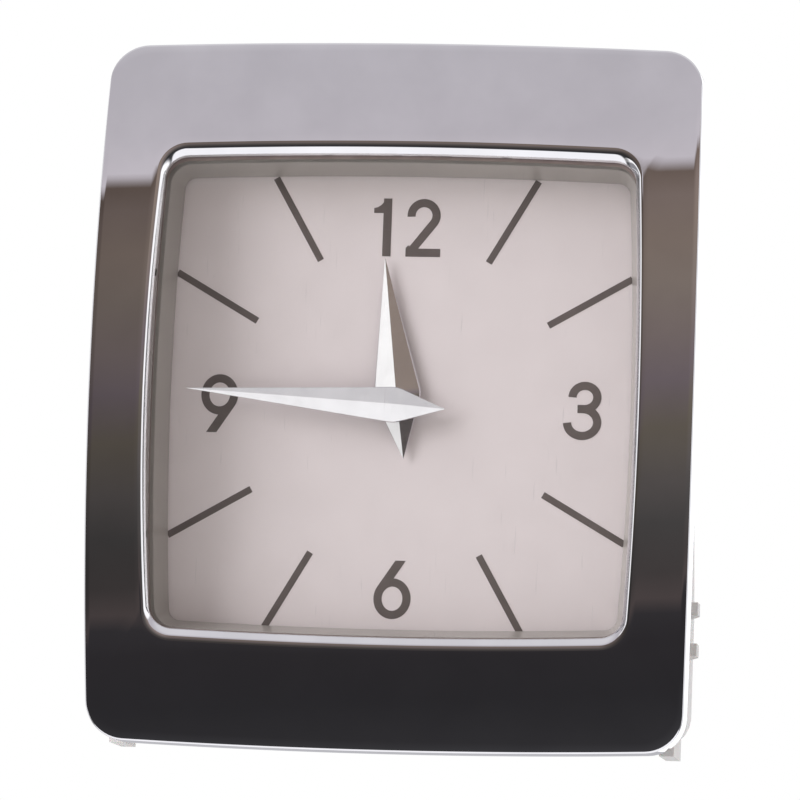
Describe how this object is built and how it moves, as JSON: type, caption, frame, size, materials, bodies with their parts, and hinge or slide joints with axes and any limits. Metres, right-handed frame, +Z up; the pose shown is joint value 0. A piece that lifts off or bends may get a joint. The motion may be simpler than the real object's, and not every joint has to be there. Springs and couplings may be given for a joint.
{
  "type": "dashboard clock",
  "caption": "Rectangular dashboard clock: chrome frame round a windowed dial with two faceted hands, driven by a geared stepper behind it.",
  "frame": {"origin": "on the axis of the hands, level with the frame's back rim at mid height", "axes": "+X to the viewer's right, +Z up, the dial faces -Y"},
  "size_m": [0.062, 0.0284, 0.0726],
  "materials": {
    "frame_chrome": "bright chrome plating on moulded plastic, mirror polished",
    "hand_chrome": "bright chrome plating on faceted hands",
    "lens_clear": "clear moulded acrylic, polished, faint scuffs",
    "surround_grey": "grey satin moulding, light on the lit side",
    "dial_print": "warm off-white printed film, matt",
    "guide_acrylic": "clear acrylic light guide with a frosted back",
    "housing_white": "white injection moulding with a fine spark-eroded texture",
    "gear_acetal": "natural acetal moulding",
    "board_laminate": "green solder resist on glass laminate",
    "black_moulding": "black moulded plastic",
    "brass_parts": "punched brass, lightly brushed",
    "copper_wire": "enamelled copper winding",
    "magnet_ferrite": "sintered magnet, grey",
    "led_lens": "white diffusing package",
    "steel_parts": "plated steel"
  },
  "bodies": {
    "case": {"front_frame": "frame_chrome", "window_lens": "lens_clear", "dial_surround": "surround_grey", "dial_plate": "dial_print", "light_guide": "guide_acrylic", "rear_housing": "housing_white", "case_screw_1": "steel_parts", "case_screw_2": "steel_parts", "case_screw_3": "steel_parts", "case_screw_4": "steel_parts", "movement_front_plate": "housing_white", "movement_back_plate": "housing_white", "stator": "steel_parts", "coil_core": "steel_parts", "coil_bobbin": "black_moulding", "coil_winding": "copper_wire", "circuit_board": "board_laminate", "movement_screw_1": "steel_parts", "movement_screw_2": "steel_parts", "board_screw_1": "steel_parts", "board_screw_2": "steel_parts", "led_1": "led_lens", "led_2": "led_lens", "led_3": "led_lens", "led_4": "led_lens", "driver_chip": "black_moulding", "quartz_crystal": "steel_parts", "capacitor_1": "black_moulding", "capacitor_2": "black_moulding", "connector_shell": "black_moulding", "connector_pin_1": "brass_parts", "connector_pin_2": "brass_parts", "connector_pin_3": "brass_parts", "connector_pin_4": "brass_parts"},
    "minute_train": {"minute_arbor": "steel_parts", "centre_wheel": "brass_parts", "minute_hand": "hand_chrome"},
    "hour_train": {"hour_wheel": "gear_acetal", "hour_hand": "hand_chrome"},
    "motion_train": {"motion_wheel": "gear_acetal"},
    "second_train": {"second_wheel": "gear_acetal"},
    "rotor": {"rotor_pinion": "steel_parts", "rotor_magnet": "magnet_ferrite"}
  },
  "joints": [
    {"name": "minute_hand_turn", "type": "hinge", "parent": "case", "child": "minute_train", "pos_m": [0, 0, 0], "axis": [0, 1, 0], "continuous": true},
    {"name": "hour_hand_turn", "type": "hinge", "parent": "case", "child": "hour_train", "pos_m": [0, 0, 0], "axis": [0, 1, 0], "continuous": true},
    {"name": "motion_wheel_turn", "type": "hinge", "parent": "case", "child": "motion_train", "pos_m": [0.003, 0, 0.0052], "axis": [0, 1, 0], "continuous": true},
    {"name": "second_wheel_turn", "type": "hinge", "parent": "case", "child": "second_train", "pos_m": [-0.00516, 0, -0.00737], "axis": [0, 1, 0], "continuous": true},
    {"name": "rotor_turn", "type": "hinge", "parent": "case", "child": "rotor", "pos_m": [-0.00031, 0, -0.01017], "axis": [0, 1, 0], "continuous": true}
  ],
  "couplings": [
    {"joint": "hour_hand_turn", "follows": "minute_hand_turn", "ratio": 0.083333},
    {"joint": "motion_wheel_turn", "follows": "minute_hand_turn", "ratio": -0.33333},
    {"joint": "second_wheel_turn", "follows": "minute_hand_turn", "ratio": -8},
    {"joint": "rotor_turn", "follows": "minute_hand_turn", "ratio": 48}
  ]
}
